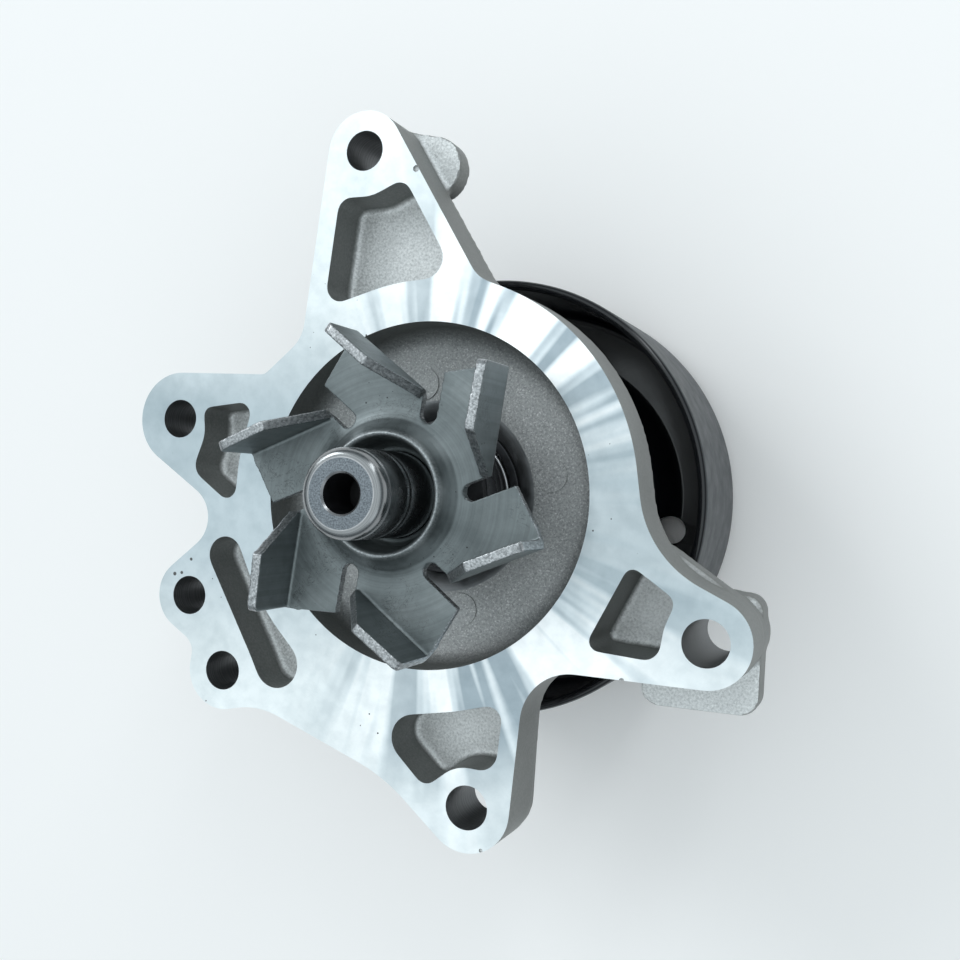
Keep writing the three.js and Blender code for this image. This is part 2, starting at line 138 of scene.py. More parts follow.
# ---- shader helper -----------------------------------------------------------------------------
def set_stops(elements, stops):
    """Gives a colour ramp its stops (position, colour), in rising order."""
    while len(elements) < len(stops):
        elements.new(0.5)
    for element, (at, color) in zip(elements, stops):
        element.position = at
        element.color = (*color, 1)


class Shade:
    """A small writer of node trees around one Principled BSDF. Its lengths are in metres."""

    def __init__(self, material):
        self.tree = material.node_tree
        self.bsdf = self.tree.nodes["Principled BSDF"]
        self.coords = self.tree.nodes.new("ShaderNodeTexCoord")

    def put(self, socket, value):
        self.bsdf.inputs[socket].default_value = value

    def base(self, r, g, b):
        self.put("Base Color", (r, g, b, 1))

    def link(self, out, socket):
        self.tree.links.new(out, socket)

    def to(self, out, name):
        self.link(out, self.bsdf.inputs[name])

    def node(self, kind, **values):
        made = self.tree.nodes.new(kind)
        for key, value in values.items():
            made.inputs[key].default_value = value
        return made

    def place(self):
        return self.coords.outputs["Object"]

    def noise(self, scale, detail=3.0, roughness=0.55, vector=None, distortion=0.0):
        made = self.node("ShaderNodeTexNoise", Scale=scale, Detail=detail, Roughness=roughness,
                         Distortion=distortion)
        self.link(vector or self.place(), made.inputs["Vector"])
        return made.outputs["Fac"]

    def rings(self, distance, per_metre, detail, roughness=0.5):
        """Noise along one length only: rings for a radius, hoops for a height."""
        made = self.node("ShaderNodeTexNoise", Scale=1.0, Detail=detail, Roughness=roughness)
        made.noise_dimensions = "1D"
        self.link(self.math("MULTIPLY", distance, per_metre), made.inputs["W"])
        return made.outputs["Fac"]

    def rays(self, radius, angle, per_metre, per_radian):
        """Noise that is long outwards and narrow round the axis."""
        around = self.tree.nodes.new("ShaderNodeCombineXYZ")
        self.link(self.math("MULTIPLY", angle, per_radian), around.inputs["X"])
        self.link(self.math("MULTIPLY", radius, per_metre), around.inputs["Y"])
        made = self.node("ShaderNodeTexNoise", Scale=1.0, Detail=2.0, Roughness=0.55)
        made.noise_dimensions = "2D"
        self.link(around.outputs["Vector"], made.inputs["Vector"])
        return made.outputs["Fac"]

    def cells(self, scale):
        made = self.node("ShaderNodeTexVoronoi", Scale=scale)
        self.link(self.place(), made.inputs["Vector"])
        return made.outputs["Distance"]

    def math(self, operation, a, b=0.0):
        made = self.tree.nodes.new("ShaderNodeMath")
        made.operation = operation
        for socket, value in zip(made.inputs, (a, b)):
            if isinstance(value, (int, float)):
                socket.default_value = value
            else:
                self.link(value, socket)
        return made.outputs["Value"]

    def ramp(self, fac, stops):
        made = self.tree.nodes.new("ShaderNodeValToRGB")
        set_stops(made.color_ramp.elements, stops)
        self.link(fac, made.inputs["Fac"])
        return made.outputs["Color"]

    def span(self, value, low, high, to_low=0.0, to_high=1.0):
        """Maps low..high to to_low..to_high, and holds the ends beyond them."""
        made = self.node("ShaderNodeMapRange")
        made.clamp = True
        for socket, number in zip(made.inputs[1:5], (low, high, to_low, to_high)):
            socket.default_value = number
        self.link(value, made.inputs[0])
        return made.outputs[0]

    def mix(self, fac, a, b, mode="MIX"):
        made = self.tree.nodes.new("ShaderNodeMix")
        made.data_type = "RGBA"
        made.blend_type = mode
        for index, value in ((0, fac), (6, a), (7, b)):
            socket = made.inputs[index]
            if isinstance(value, tuple):
                socket.default_value = (*value, 1)
            elif isinstance(value, (int, float)):
                socket.default_value = value
            else:
                self.link(value, socket)
        return made.outputs[2]

    def bump(self, height, strength, distance):
        made = self.node("ShaderNodeBump", Strength=strength, Distance=distance)
        self.link(height, made.inputs["Height"])
        self.to(made.outputs["Normal"], "Normal")

    def axes(self):
        made = self.tree.nodes.new("ShaderNodeSeparateXYZ")
        self.link(self.place(), made.inputs["Vector"])
        return made.outputs

    def flatness(self):
        """1 on faces that look up or down, 0 on upright ones."""
        facing = self.tree.nodes.new("ShaderNodeNewGeometry")
        split = self.tree.nodes.new("ShaderNodeSeparateXYZ")
        self.link(facing.outputs["Normal"], split.inputs["Vector"])
        return self.span(self.math("ABSOLUTE", split.outputs["Z"]), 0.25, 0.85)

    def polar(self):
        """Distance from the Z axis and angle about it."""
        x, y, _ = self.axes()
        squares = self.math("ADD", self.math("MULTIPLY", x, x), self.math("MULTIPLY", y, y))
        return self.math("SQRT", squares), self.math("ARCTAN2", y, x)


def new_material(name):
    material = bpy.data.materials.new(name)
    material.use_nodes = True
    return material, Shade(material)


# ---- materials ---------------------------------------------------------------------------------
def cast_aluminium():
    """Grit-blasted die casting: satin grey with a fine bright sparkle, darker inside the chamber, with
    painted shade on its upright walls.
    """
    material, s = new_material("cast_aluminium")
    grain = s.noise(2300, 3, 0.6)
    speck = s.span(s.noise(3600, 2, 0.5), 0.56, 0.72, 0.0, 0.5)
    radius, _ = s.polar()
    # Darker inside the chamber, within its rim.
    chamber = s.span(radius, (CHAMBER_R + 0.5) * MM, (CHAMBER_R - 0.3) * MM, 0.0, 0.42)
    tone = s.ramp(grain, [(0.30, (0.46, 0.47, 0.47)), (0.50, (0.68, 0.69, 0.69)), (0.70, (0.88, 0.89, 0.89))])
    tone = s.mix(chamber, tone, (0.02, 0.02, 0.02))
    tone = s.mix(speck, tone, (0.98, 0.98, 0.97))
    # Painted shade: upright faces take a much darker copy of the casting's grey.
    painted_shade_wall = s.ramp(grain, [(0.30, (0.20, 0.205, 0.20)), (0.70, (0.30, 0.305, 0.295))])
    tone = s.mix(s.flatness(), painted_shade_wall, tone)
    stain = s.ramp(s.noise(55, 3), [(0.35, (0.86, 0.86, 0.86)), (0.65, (1, 1, 1))])
    s.to(s.mix(1.0, tone, stain, "MULTIPLY"), "Base Color")
    s.put("Metallic", 0.75)
    s.to(s.span(grain, 0.3, 0.7, 0.50, 0.64), "Roughness")
    s.bump(grain, 0.22, 0.00010)
    return material


def milled_aluminium():
    """Joint face turned about the pump axis: fine rings, with their rays of light painted into the colour as
    highlights, and painted sheen and shade elsewhere.
    """
    material, s = new_material("milled_aluminium")
    radius, angle = s.polar()
    x, y, _ = s.axes()
    # Painted highlight: rays of light off the turning rings, painted into the colour.
    painted_ray_highlight = s.ramp(s.rays(radius, angle, 14.0, 7.0),
                    [(0.38, (0.36, 0.42, 0.46)), (0.47, (0.70, 0.75, 0.78)), (0.56, (1.0, 1.0, 1.0))])

    # The painted highlight rays show right of the axis, above and below it, and fade out in the lugs.
    right = s.span(s.math("ADD", x, s.math("MULTIPLY", s.noise(30, 2), 0.02)), -0.010, 0.018)
    above = s.span(s.math("ABSOLUTE", s.math("ADD", y, 0.002)), 0.006, 0.024, 0.12, 1.0)
    inner = s.span(radius, 0.052, 0.042, 0.25, 1.0)
    painted_ray_mask = s.math("MULTIPLY", s.math("MULTIPLY", right, above), inner)
    # Painted sheen and shade away from the rays: darker beside the axis, lighter above and below it.
    side = s.ramp(s.noise(45, 3), [(0.3, (0.38, 0.44, 0.47)), (0.7, (0.53, 0.59, 0.62))])
    ends = s.ramp(s.noise(45, 3), [(0.3, (0.74, 0.78, 0.79)), (0.7, (0.92, 0.95, 0.96))])
    painted_sheen_and_shade = s.mix(s.span(s.math("ABSOLUTE", y), 0.014, 0.034), side, ends)
    smear = s.ramp(s.noise(420, 4), [(0.35, (0.80, 0.82, 0.83)), (0.62, (1, 1, 1))])
    tone = s.mix(0.5, s.mix(painted_ray_mask, painted_sheen_and_shade, painted_ray_highlight), smear, "MULTIPLY")
    pit_size = s.span(s.noise(35, 2), 0.50, 0.68, 0.0, 0.16)
    pits = s.math("LESS_THAN", s.cells(420), pit_size)
    s.to(s.mix(pits, tone, (0.10, 0.10, 0.10)), "Base Color")

    s.put("Metallic", 0.9)
    s.put("Anisotropic", 0.55)
    tangent = s.node("ShaderNodeTangent")
    tangent.direction_type = "RADIAL"
    tangent.axis = "Z"
    s.to(tangent.outputs["Tangent"], "Tangent")
    s.to(s.span(s.noise(300, 3), 0.3, 0.7, 0.30, 0.42), "Roughness")
    s.bump(s.rings(radius, 7000, 2.0, 0.6), 0.25, 0.00003)
    return material


def drilled_aluminium():
    """Bolt holes: a dark colour that is painted shade, with hoops left by the drill."""
    material, s = new_material("drilled_aluminium")
    _, _, z = s.axes()
    hoops = s.rings(z, 4000, 1.0)
    s.to(s.ramp(hoops, [(0.3, (0.13, 0.135, 0.14)), (0.7, (0.22, 0.225, 0.23))]), "Base Color")
    s.put("Metallic", 0.9)
    s.put("Roughness", 0.45)
    s.bump(hoops, 0.3, 0.00005)
    return material


def stamped_steel():
    """Impeller sheet: grey-green steel with draw marks, fine scratches, dark spots, painted shade on upright
    faces and a painted highlight along the bead's crest.
    """
    material, s = new_material("stamped_steel")
    radius, _ = s.polar()
    fine = s.noise(900, 4, 0.6)
    tone = s.ramp(s.noise(90, 5, 0.6),
                  [(0.30, (0.15, 0.17, 0.175)), (0.55, (0.21, 0.235, 0.24)), (0.75, (0.27, 0.295, 0.30))])
    scuff = s.ramp(fine, [(0.35, (0.80, 0.80, 0.80)), (0.6, (1, 1, 1))])
    tone = s.mix(0.6, tone, scuff, "MULTIPLY")
    drawn = s.ramp(s.rings(radius, 1400, 3.0, 0.7), [(0.35, (0.72, 0.72, 0.72)), (0.6, (1, 1, 1))])
    tone = s.mix(0.5, tone, drawn, "MULTIPLY")

    curl = s.noise(260, 4.0, 0.7, distortion=2.5)
    scratch = s.math("LESS_THAN", s.math("ABSOLUTE", s.math("SUBTRACT", curl, 0.5)), 0.010)
    scratch = s.math("MULTIPLY", scratch, s.span(s.noise(120, 2), 0.52, 0.60, 0.0, 0.55))
    tone = s.mix(scratch, tone, (0.05, 0.05, 0.05))
    dots = s.math("LESS_THAN", s.cells(900), s.span(s.noise(150, 2), 0.5, 0.7, 0.0, 0.14))
    tone = s.mix(dots, tone, (0.04, 0.04, 0.04))
    # Painted shade: upright faces, such as the blades' inner sides, are darkened a little.
    upright = s.span(s.flatness(), 0.0, 1.0, 0.10, 0.0)
    tone = s.mix(upright, tone, (0.035, 0.04, 0.042))

    # Painted highlight: a bright ring along the bead's crest, broken up by noise.
    inside = s.span(radius, (BEAD_CROWN_R - 0.6) * MM, BEAD_CROWN_R * MM)
    outside = s.span(radius, (BEAD_CROWN_R + 0.8) * MM, (BEAD_CROWN_R + 0.1) * MM)
    painted_crest_highlight = s.math("MULTIPLY", inside, outside)
    painted_crest_highlight = s.math("MULTIPLY", painted_crest_highlight, s.span(s.noise(3000, 3), 0.36, 0.62, 0.2, 0.8))
    s.to(s.mix(painted_crest_highlight, tone, (0.50, 0.52, 0.53)), "Base Color")
    s.put("Metallic", 0.85)
    s.to(s.span(fine, 0.3, 0.7, 0.40, 0.54), "Roughness")
    s.bump(fine, 0.18, 0.00006)
    return material


def sheared_edge():
    """Broken edge of the sheet: bright and striated across its thickness."""
    material, s = new_material("sheared_edge")
    squeeze = s.node("ShaderNodeMapping", Scale=(1, 1, 0.35))
    s.link(s.place(), squeeze.inputs["Vector"])
    tear = s.noise(2800, 3, 0.6, squeeze.outputs["Vector"])
    tone = s.ramp(tear, [(0.34, (0.20, 0.205, 0.21)), (0.50, (0.34, 0.35, 0.36)), (0.68, (0.56, 0.57, 0.58))])
    s.to(tone, "Base Color")
    s.put("Metallic", 0.95)
    s.put("Roughness", 0.36)
    s.bump(tear, 0.25, 0.0001)
    return material


def turned_steel(name, dark, light, roughness, ring_scale=6000, bump=0.15):
    """Metal turned or ground about the Z axis, with fine rings."""
    material, s = new_material(name)
    radius, _ = s.polar()
    _, _, z = s.axes()
    rings = s.rings(s.math("ADD", radius, z), ring_scale, 3.0, 0.6)
    s.to(s.ramp(rings, [(0.3, dark), (0.7, light)]), "Base Color")
    s.put("Metallic", 1.0)
    s.to(s.span(s.noise(400, 3), 0.3, 0.7, roughness * 0.8, roughness * 1.25), "Roughness")
    s.bump(rings, bump, 0.00003)
    return material


def granular_steel():
    """Dull face of the shaft's end."""
    material, s = new_material("shaft_end_face")
    grain = s.noise(4200, 3, 0.6)
    s.to(s.ramp(grain, [(0.35, (0.11, 0.125, 0.14)), (0.62, (0.25, 0.275, 0.30))]), "Base Color")
    s.put("Metallic", 0.8)
    s.put("Roughness", 0.55)
    s.bump(grain, 0.4, 0.0001)
    return material


def black_paint():
    """Gloss black on the pulley, with a slight orange peel."""
    material, s = new_material("pulley_paint")
    s.to(s.ramp(s.noise(70, 3), [(0.35, (0.003, 0.0035, 0.005)), (0.7, (0.006, 0.007, 0.009))]), "Base Color")
    s.put("Metallic", 0.0)
    s.to(s.span(s.noise(150, 3), 0.3, 0.7, 0.14, 0.22), "Roughness")
    s.bump(s.noise(260, 2), 0.05, 0.0001)
    return material


def band_steel():
    """Running band of the pulley: satin grey with faint hoops."""
    material, s = new_material("belt_band")
    _, _, z = s.axes()
    hoops = s.rings(z, 3500, 3.0)
    s.to(s.ramp(hoops, [(0.3, (0.058, 0.064, 0.069)), (0.7, (0.082, 0.090, 0.097))]), "Base Color")
    s.put("Metallic", 0.7)
    s.to(s.span(s.noise(300, 3), 0.3, 0.7, 0.42, 0.55), "Roughness")
    s.bump(hoops, 0.12, 0.00004)
    return material


def plain_finish(name, dark, light, metallic, roughness):
    """Fine-grained finish of a small inner piece."""
    material, s = new_material(name)
    grain = s.noise(700, 4)
    s.to(s.ramp(grain, [(0.35, dark), (0.65, light)]), "Base Color")
    s.put("Metallic", metallic)
    s.to(s.span(grain, 0.3, 0.7, roughness * 0.85, roughness * 1.15), "Roughness")
    s.bump(grain, 0.2, 0.00008)
    return material


# ---- mesh helpers ------------------------------------------------------------------------------
TINY = 1e-6              # a radius or a length that counts as none


def arc_points(x, y, r, start, end, step):
    """Points on an arc from one angle to another, anticlockwise when end is larger."""
    count = max(2, math.ceil(abs(end - start) * abs(r) / step))
    angles = [start + (end - start) * i / count for i in range(count + 1)]
    return [(x + r * math.cos(a), y + r * math.sin(a)) for a in angles]


def belt(circles, step=0.5):
    """Outline of a belt round circles (x, y, r); a negative radius is passed on its other side."""
    normals = []
    for (x, y, r), (nx, ny, nr) in zip(circles, circles[1:] + circles[:1]):
        along = math.atan2(ny - y, nx - x)
        lean = math.asin((nr - r) / math.hypot(nx - x, ny - y))
        normals.append(along - lean - math.pi / 2)
    points = []
    for i, (x, y, r) in enumerate(circles):
        start, end = normals[i - 1], normals[i]
        turn = (end - start) % TAU if r > 0 else -((start - end) % TAU)
        points += arc_points(x, y, r, start, start + turn, step)
    return [p for p, q in zip(points, points[1:] + points[:1]) if math.dist(p, q) > 1e-4]


def mesh_object(name, verts, faces):
    mesh = bpy.data.meshes.new(name)
    mesh.from_pydata([tuple(v) for v in verts], [], faces)
    mesh.validate()
    mesh.update()
    mesh.shade_smooth()
    made = bpy.data.objects.new(name, mesh)
    bpy.context.scene.collection.objects.link(made)
    return made


def loft(name, loops):
    """A closed solid through loops of equal length, each a list of 3D points, anticlockwise from above."""
    count = len(loops[0])
    verts = [p for loop in loops for p in loop]
    faces = []
    for k in range(len(loops) - 1):
        low, high = k * count, (k + 1) * count
        for i in range(count):
            j = (i + 1) % count
            faces.append((low + i, low + j, high + j, high + i))
    faces.append(tuple(reversed(range(count))))
    faces.append(tuple(range((len(loops) - 1) * count, len(loops) * count)))
    return mesh_object(name, verts, faces)


def offset_loop(points, distance):
    """Moves an anticlockwise outline outwards along its normals."""
    here = np.array(points)
    before = here - np.roll(here, 1, 0)
    after = np.roll(here, -1, 0) - here
    before /= np.linalg.norm(before, axis=1)[:, None]
    after /= np.linalg.norm(after, axis=1)[:, None]
    both = before + after
    normal = np.stack([both[:, 1], -both[:, 0]], 1)
    sharpest = 0.3           # keeps the tip of a sharp corner from running far out
    normal /= np.maximum(np.sum(normal * normal, 1) / 2, sharpest)[:, None]
    return here + normal * distance


def prism(name, points, levels):
    """A solid over an outline; levels are (z, outward offset) from the bottom up."""
    loops = []
    for z, out in levels:
        moved = offset_loop(points, out) if out else np.array(points)
        loops.append([(x, y, z) for x, y in moved])
    return loft(name, loops)


def lathe(name, profile, sides=128, sharp=math.radians(35)):
    """A solid of revolution from a profile of (radius, z), anticlockwise; radius 0 closes on the axis."""
    around = [TAU * i / sides for i in range(sides)]
    rings, verts, faces = [], [], []
    for r, z in profile:
        if r < TINY:
            rings.append([len(verts)] * sides)
            verts.append((0, 0, z))
        else:
            rings.append(list(range(len(verts), len(verts) + sides)))
            verts += [(r * math.cos(a), r * math.sin(a), z) for a in around]
    pairs = list(zip(rings, rings[1:]))
    if profile[0][0] > TINY:
        pairs.append((rings[-1], rings[0]))
    for low, high in pairs:
        for i in range(sides):
            j = (i + 1) % sides
            corner = [low[i], low[j], high[j], high[i]]
            face = [v for n, v in enumerate(corner) if v not in corner[:n]]
            if len(face) > 2:
                faces.append(face)
    made = mesh_object(name, verts, faces)
    made.data.set_sharp_from_angle(angle=sharp)
    return made


def cylinder(name, radius, low, high, sides):
    return lathe(name, [(0, low), (radius, low), (radius, high), (0, high)], sides)


def washer(inner, outer, low, high):
    """Profile of a flat ring."""
    return [(inner, low), (outer, low), (outer, high), (inner, high)]


def round_corners(profile, radius, steps=4):
    """Rounds each corner of a closed (radius, z) profile that isn't on the axis."""
    rounded = []
    count = len(profile)
    for i, here in enumerate(profile):
        if here[0] < TINY:
            rounded.append(here)
            continue
        p = Vector(here)
        before = Vector(profile[i - 1]) - p
        after = Vector(profile[(i + 1) % count]) - p
        cut = min(radius, 0.45 * before.length, 0.45 * after.length)
        start, end = p + before.normalized() * cut, p + after.normalized() * cut
        for k in range(steps + 1):
            t = k / steps
            rounded.append(tuple((1 - t) ** 2 * start + 2 * t * (1 - t) * p + t * t * end))
    return rounded


def arc_profile(r, z, radius, start, end, steps):
    """Points of a (radius, z) profile round an arc's centre, between two angles in degrees."""
    angles = np.radians(np.linspace(start, end, steps + 1))
    return [(r + radius * math.cos(a), z + radius * math.sin(a)) for a in angles]


def modify(obj, kind, **values):
    """Adds a modifier and applies it at once."""
    modifier = obj.modifiers.new(kind, kind)
    for key, value in values.items():
        setattr(modifier, key, value)
    with bpy.context.temp_override(object=obj, active_object=obj, selected_objects=[obj]):
        bpy.ops.object.modifier_apply(modifier=modifier.name)


def combine(obj, other, operation):
    """Joins or cuts with another solid, which is used up, and drops the empty slot that this leaves."""
    modify(obj, "BOOLEAN", object=other, operation=operation, solver="MANIFOLD")
    obj.data.materials.clear()
    bpy.data.objects.remove(other)


def move_out(obj, radius, angle, z=0.0):
    """Moves a mesh out from the axis, to a place at an angle and a height."""
    obj.data.transform(Matrix.Translation((radius * math.cos(angle), radius * math.sin(angle), z)))


def paint_faces(mesh, choose):
    """Gives each face the material index that choose(centres, normals) returns for it."""
    count = len(mesh.polygons)
    centres = np.zeros(count * 3, np.float32)
    normals = np.zeros(count * 3, np.float32)
    mesh.polygons.foreach_get("center", centres)
    mesh.polygons.foreach_get("normal", normals)
    index = choose(centres.reshape(-1, 3), normals.reshape(-1, 3)).astype(np.int32)
    mesh.polygons.foreach_set("material_index", index)
    mesh.update()


def piece(obj, node, materials):
    """Scales a piece from millimetres, gives it its materials and puts it in its CAD node's place."""
    obj.name = node + "_surface"
    obj.data.transform(Matrix.Scale(MM, 4))
    for material in materials:
        obj.data.materials.append(material)
    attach(obj, BODY_OF[node])
    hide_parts(node)


def turned_piece(node, profile, material, radius=0.12):
    """A small ring with its corners rounded."""
    piece(lathe(node, round_corners(profile, radius)), node, (material,))


# ---- pump body ---------------------------------------------------------------------------------
FACE_Z = 66
MILL_STOCK = 2            # metal left above the joint face before it is milled off
PLATE_BACK_Z = 55
INSIDE_PLATE_Z = 56       # the lumps on the back end here, inside the plate
CHAMBER_R = 29.5
CHAMBER_FLOOR_Z = 56.5
CHAMBER_FILLET = 4
FUNNEL_R = 16.9           # mouth of the cone round the seal
RIM_R = 37.4              # outer edge of the joint face beside the chamber
POCKET_RING_R = 36.6      # side of the pockets towards the chamber
NECK_R = 19
NECK_LOW_Z = 16.3
BORE_R = 15.05
BORE_LOW_Z = 15           # below the neck, so that the cut goes through
SEAT_R = 13
SEAT_LOW_Z = 45.3
SEAT_TOP_Z = 53.4
CAST_VOXEL = 0.5

MARK_R = 2.9              # round marks of the ejector pins on the chamber floor
MARK_ORBIT = 20.3
MARK_HEIGHT = 0.2
MARK_DEGREES = (13, 104, 193, 283)

WEEP_R = 2
WEEP_Z = 47.2
WEEP_ANGLE = math.radians(200)

# Bolt lugs: x, y, hole radius, lug radius, height of the lug's back
TOP_LUG = (-14.35, 59.15, 3.5, 7.0, 52)
LEFT_LUG = (-49.6, 11.4, 3.5, 8.5, 52)
NOTCH_LUG = (-45.5, -20.9, 3.5, 6.6, 52)
CORNER_LUG = (-37.5, -33.85, 3.5, 7.0, 52)
BOTTOM_LUG = (11.24, -51.3, 3.7, 7.5, 52.6)
RIGHT_LUG = (49.2, -20.15, 3.8, 7.2, 43)
LUGS = (TOP_LUG, LEFT_LUG, NOTCH_LUG, CORNER_LUG, BOTTOM_LUG, RIGHT_LUG)


def lug_circle(lug, extra=0.0):
    return (lug[0], lug[1], lug[3] + extra)


# Circles that the outline of the joint face runs round: x, y, radius
FACE_OUTLINE = [
    lug_circle(TOP_LUG), (-30.9, 29.6, -6.5), (-32.3, 20.7, -0.8), lug_circle(LEFT_LUG),
    (-48.3, -6.7, -6), lug_circle(NOTCH_LUG), (-47.3, -31.2, -3.1), lug_circle(CORNER_LUG),
    (-30.5, -54.8, -15), (-19.2, -74.8, -30), lug_circle(BOTTOM_LUG), (28.5, -36, -8.8),
    lug_circle(RIGHT_LUG), (55.2, 4.6, -17.8), (0, 0, RIM_R), (12, 41.8, -6),
]

# Lightening pockets: floor height, and circles of the outline
POCKETS = (
    (58.2, [(-16.5, 48.6, 2.5), (-17.6, 35.6, 2.7), (0, 0, -POCKET_RING_R), (-2, 40.2, 3.6),
            (-7.3, 51, 2.4), (TOP_LUG[0], TOP_LUG[1], -8)]),
    (58.2, [(-42.9, 12.3, 1.5), (-51, 9.4, -6.9), (-42.8, 3.2, 2.9), (-38.7, -0.7, 2),
            (0, 0, -POCKET_RING_R), (-36.7, 12.6, 2.1)]),
    (58.2, [(-38.2, -13, 3.4), (CORNER_LUG[0], CORNER_LUG[1], -6.6), (-26.4, -31.5, 4.3),
            (0, 0, -POCKET_RING_R)]),
    (57.0, [(14.3, -36.4, 2.3), (0, 0, -POCKET_RING_R), (1, -41.2, 4.1), (3.6, -46.2, 2.2),
            (BOTTOM_LUG[0], BOTTOM_LUG[1], -6.6), (13.1, -41.7, 3.1)]),
    (54.0, [(37.2, -11.1, 1.5), (32.2, -21.6, 1.6), (39.6, -21.1, 2.6),
            (RIGHT_LUG[0], RIGHT_LUG[1], -6.8), (42.1, -14.7, 1.8)]),
)

# Lumps on the back of the plate: name, underside, top, and circles of the outline
LUMPS = (
    ("right_arm", 51, INSIDE_PLATE_Z, [lug_circle(RIGHT_LUG), (38.5, -10.2, 4.6), (33, -22.5, 4.4)]),
    ("foot", 43.1, 50, [(38.8, -30.6, 3), (52.6, -30.6, 3), (52.6, -16.5, 3), (38.8, -16.5, 3)]),
    ("bottom_arm", 52.7, INSIDE_PLATE_Z, [lug_circle(BOTTOM_LUG), (11.5, -36, 7.5), (-1, -39, 4)]),
    ("ear", 51.1, INSIDE_PLATE_Z, [(-6, 58.7, 5.6), lug_circle(TOP_LUG, -0.3)]),
)

# Small chips in the rim of the joint face: x, y, size
EDGE_CHIPS = ((-25.6, 27.2, 0.5), (-4.3, 55.6, 0.7), (36.3, -27.3, 0.5), (14.2, -57.9, 0.4))


def back_rib(lug):
    """A rib on the back, from the bearing boss out to a lug."""
    x, y, _, _, back = lug
    reach = math.hypot(x, y) - 4
    top = PLATE_BACK_Z + 0.5
    side = [(17, 34), (21, 36), (33, 46), (reach, back + 0.5), (reach, top), (17, top)]
    half_width = 1.6
    rib = loft("rib", [[(r, across, z) for r, z in side] for across in (half_width, -half_width)])
    rib.data.transform(Matrix.Rotation(math.atan2(y, x), 4, "Z"))
    return rib


def neck():
    """The bearing boss, widening into the plate."""
    profile = [(0, NECK_LOW_Z), (NECK_R - 0.4, NECK_LOW_Z), (NECK_R, NECK_LOW_Z + 0.5), (NECK_R, 40),
               (20.5, 45), (26, 49.5), (33, 52), (33, INSIDE_PLATE_Z), (0, INSIDE_PLATE_Z)]
    return lathe("neck", profile)


def chamber(top):
    """The space that the impeller turns in, with a fillet round its floor."""
    corner = arc_profile(CHAMBER_R - CHAMBER_FILLET, CHAMBER_FLOOR_Z + CHAMBER_FILLET, CHAMBER_FILLET,
                         -90, 0, 8)
    profile = [(0, CHAMBER_FLOOR_Z - 0.1), (FUNNEL_R - 4, CHAMBER_FLOOR_Z)] + corner
    return lathe("chamber", profile + [(CHAMBER_R, top), (0, top)], 192)


def cast_blank():
    """The casting before any cutting, as one remeshed skin with natural fillets."""
    top = FACE_Z + MILL_STOCK
    plate = prism("pump_body", belt(FACE_OUTLINE), [(PLATE_BACK_Z, 0.15), (top, 0)])
    combine(plate, neck(), "UNION")
    for name, low, high, circles in LUMPS:
        combine(plate, prism(name, belt(circles), [(low, 0), (high, 0)]), "UNION")
    for lug in LUGS:
        x, y, _, radius, back = lug
        ring = arc_points(x, y, radius - 0.2, 0, TAU, 0.5)[:-1]
        combine(plate, prism("lug", ring, [(back + 0.1, 0), (INSIDE_PLATE_Z, 0)]), "UNION")
        combine(plate, back_rib(lug), "UNION")
    combine(plate, chamber(top + 1), "DIFFERENCE")
    for floor, circles in POCKETS:
        drafted = [(floor, -0.35), (FACE_Z, 0), (top + 1, 0.1)]
        combine(plate, prism("pocket", belt(circles), drafted), "DIFFERENCE")
    modify(plate, "REMESH", mode="VOXEL", voxel_size=CAST_VOXEL)
    modify(plate, "SMOOTH", factor=0.5, iterations=3)
    modify(plate, "DECIMATE", ratio=0.35)
    return plate


def add_ejector_marks(body):
    for degrees in MARK_DEGREES:
        mark = cylinder("ejector_mark", MARK_R, PLATE_BACK_Z, CHAMBER_FLOOR_Z + MARK_HEIGHT, 48)
        move_out(mark, MARK_ORBIT, math.radians(degrees))
        combine(body, mark, "UNION")


def machine_body(body):
    """Mills the joint face, bores the bearing, the seal's seat and its cone, and drills the holes."""
    half = 90
    square = [(-half, -half), (half, -half), (half, half), (-half, half)]
    combine(body, prism("milled_off", square, [(FACE_Z, 0), (FACE_Z + 20, 0)]), "DIFFERENCE")
    cone = [(13.4, 53.8), (14.2, 55.0), (15.2, 55.9), (16.2, 56.35), (17.4, 56.6)]
    bore = [(0, BORE_LOW_Z), (BORE_R, BORE_LOW_Z), (BORE_R, SEAT_LOW_Z), (SEAT_R, SEAT_LOW_Z),
            (SEAT_R, SEAT_TOP_Z)] + cone + [(17.4, 60), (0, 60)]
    combine(body, lathe("bore", bore, 192), "DIFFERENCE")
    for x, y, hole, _, back in LUGS:
        drill = cylinder("drill", hole, back - 1, FACE_Z + 1, 96)
        drill.data.transform(Matrix.Translation((x, y, 0)))
        combine(body, drill, "DIFFERENCE")
    for x, y, size in EDGE_CHIPS:
        chip = lathe("chip", [(0, -size), (0.7 * size, -0.5 * size), (size, 0.4 * size), (0, size)], 7)
        chip.data.transform(Matrix.Translation((x, y, FACE_Z)))
        combine(body, chip, "DIFFERENCE")
    weep = cylinder("weep", WEEP_R, 10, 30, 48)
    weep.data.transform(Matrix.Rotation(WEEP_ANGLE, 4, "Z") @ Matrix.Translation((0, 0, WEEP_Z))
                        @ Matrix.Rotation(math.pi / 2, 4, "Y"))
    combine(body, weep, "DIFFERENCE")


